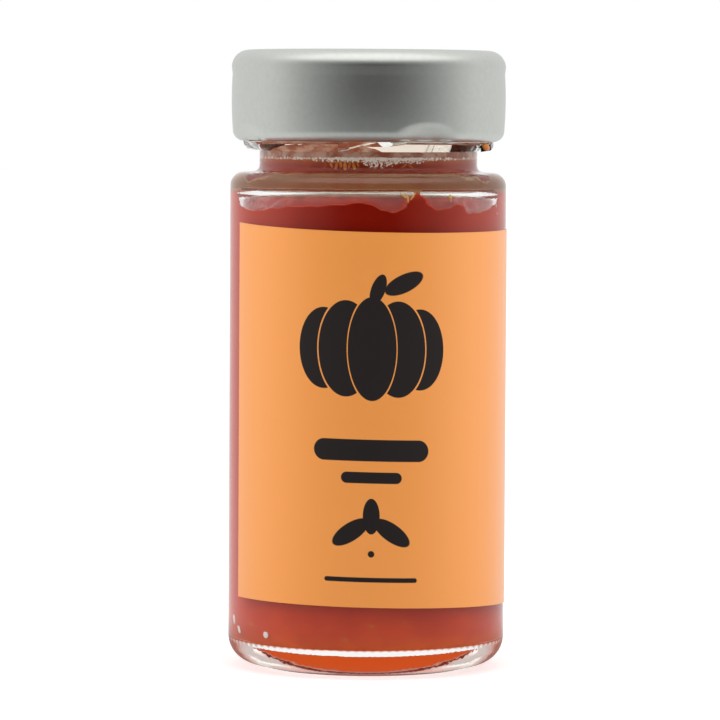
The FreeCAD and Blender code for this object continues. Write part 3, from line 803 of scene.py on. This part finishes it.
studio = {
    # lengths here are in metres
    "floor": 0.8, "floorSize": 8.0, "floorDrop": 0.0001, "table": 0.5,
    # what the camera sees of the floor is lifted to white: level near the jar, far off, through glass
    "liftNear": 0.5, "liftFar": 0.7, "liftThrough": 0.8,
    # the room is a pale tent, open and dark to the front: where that starts and ends, and its turn
    "tentFrom": 0.97, "tentTo": -0.02, "tentTurn": 4.5,
    # the room as polished pieces see it: level behind and beside, in front, and overhead
    "side": 0.91, "front": 0.035, "top": 1.6, "behindTop": 1.0,
    "nearFront": 0.6, "nearSide": 0.95,   # the same on the table close by
    "room": 0.53,                         # the same room as plain light
    # lamps: name, place, aim, width, height, level
    "lamps": [("leftBox", (-0.8, -0.1, 0.3), (0, 0, 0.07), 0.8, 0.9, 1.82),
              ("rightBox", (0.8, -0.1, 0.3), (0, 0, 0.07), 0.8, 0.9, 1.82),
              ("topBox", (0, -0.3, 0.9), (0, 0, 0.08), 0.8, 0.6, 1.05)],
    # camera: its place, how far it looks down and leans in degrees, and the lens in millimetres
    "camera": (-0.00157, -1.0, 0.12035), "lookDown": 3.08, "roll": 0.33, "lens": 229.88,
}


def darkWay():
    # the dark opening of the tent stands a little to the right
    turn = math.radians(studio["tentTurn"])
    return math.sin(turn), -math.cos(turn), 0


def tentLevel(tree, toFront, front, side):
    return mapRange(tree, toFront, studio["tentFrom"], studio["tentTo"], studio[front], studio[side],
                    "LINEAR")


def makeFloor():
    size = studio["floorSize"]
    mesh = bpy.data.meshes.new("floor")
    mesh.from_pydata([(-size, -size, 0), (size, -size, 0), (size, size, 0), (-size, size, 0)],
                     [], [(0, 1, 2, 3)])
    floor = bpy.data.objects.new("floor", mesh)
    floor.location.z = -studio["floorDrop"]
    scene.collection.objects.link(floor)
    material, tree, shader = newMaterial("paleFloor")
    setShader(shader, roughness=0.9, specular=0.0)
    path = tree.nodes.new("ShaderNodeLightPath")
    place = tree.nodes.new("ShaderNodeTexCoord").outputs["Object"]
    away = lengthOf(tree, place)
    toFront = maths(tree, "DIVIDE", dotOf(tree, place, darkWay()), away)
    glossy = path.outputs["Is Glossy Ray"]
    tone = mixValue(tree, glossy, studio["floor"], 0.0)
    tree.links.new(mixColor(tree, tone, (0, 0, 0), (1, 1, 1)), shader.inputs["Base Color"])
    # less white close to the jar, where the shadow is
    lift = mapRange(tree, away, 0.2, 1.0, studio["liftNear"], studio["liftFar"])
    # polished pieces see the table near by and the room beyond its edge; close to the jar the table is
    # darker for them, a painted shadow
    near = maths(tree, "MULTIPLY", tentLevel(tree, toFront, "nearFront", "nearSide"),
                 mapRange(tree, away, 0.03, 0.12, 0.3, 1.0))
    far = mapRange(tree, away, studio["table"] - 0.1, studio["table"] + 0.2)
    shine = mixValue(tree, far, near, tentLevel(tree, toFront, "front", "side"))
    seen = maths(tree, "MULTIPLY", path.outputs["Is Camera Ray"], lift)
    glow = mixValue(tree, glossy, seen, shine)
    glow = mixValue(tree, path.outputs["Is Transmission Ray"], glow, studio["liftThrough"])
    shader.inputs["Emission Color"].default_value = (1, 1, 1, 1)
    tree.links.new(glow, shader.inputs["Emission Strength"])
    mesh.materials.append(material)


def makeWorld():
    world = bpy.data.worlds.new("studio")
    scene.world = world
    world.use_nodes = True
    tree = world.node_tree
    back = tree.nodes["Background"]
    path = tree.nodes.new("ShaderNodeLightPath")
    place = tree.nodes.new("ShaderNodeTexCoord").outputs["Generated"]
    toFront = dotOf(tree, place, darkWay())
    high = mapRange(tree, addNode(tree, "SeparateXYZ", place).outputs[2], 0.52, 0.68)
    above = mixValue(tree, mapRange(tree, toFront, -0.25, 0.1), studio["behindTop"], studio["top"])
    shiny = mixValue(tree, high, tentLevel(tree, toFront, "front", "side"), above)
    white = maths(tree, "MAXIMUM", path.outputs["Is Camera Ray"],
                  path.outputs["Is Transmission Ray"])
    level = mixValue(tree, path.outputs["Is Glossy Ray"], studio["room"], shiny)
    back.inputs[0].default_value = (1, 1, 1, 1)
    tree.links.new(mixValue(tree, white, level, 1.0), back.inputs[1])


def addLamp(name, place, aim, width, height, level):
    lamp = bpy.data.lights.new(name, "AREA")
    lamp.shape = "RECTANGLE"
    lamp.size, lamp.size_y = width, height
    lamp.energy = level * math.pi * width * height
    item = bpy.data.objects.new(name, lamp)
    scene.collection.objects.link(item)
    item.location = place
    item.rotation_euler = (Vector(aim) - Vector(place)).to_track_quat("-Z", "Y").to_euler()
    item.visible_camera = False
    item.visible_glossy = False
    item.visible_transmission = False


def addCamera():
    camera = bpy.data.cameras.new("camera")
    camera.lens = studio["lens"]
    camera.sensor_width = 36
    camera.clip_start, camera.clip_end = 0.01, 30
    item = bpy.data.objects.new("camera", camera)
    item.matrix_world = (Matrix.Translation(studio["camera"])
                         @ Matrix.Rotation(math.radians(90 - studio["lookDown"]), 4, "X")
                         @ Matrix.Rotation(math.radians(studio["roll"]), 4, "Z"))
    scene.collection.objects.link(item)
    scene.camera = item


makeFloor()
makeWorld()
for lampRow in studio["lamps"]:
    addLamp(*lampRow)
addCamera()
scene.view_settings.view_transform = "Standard"
print("stage set")
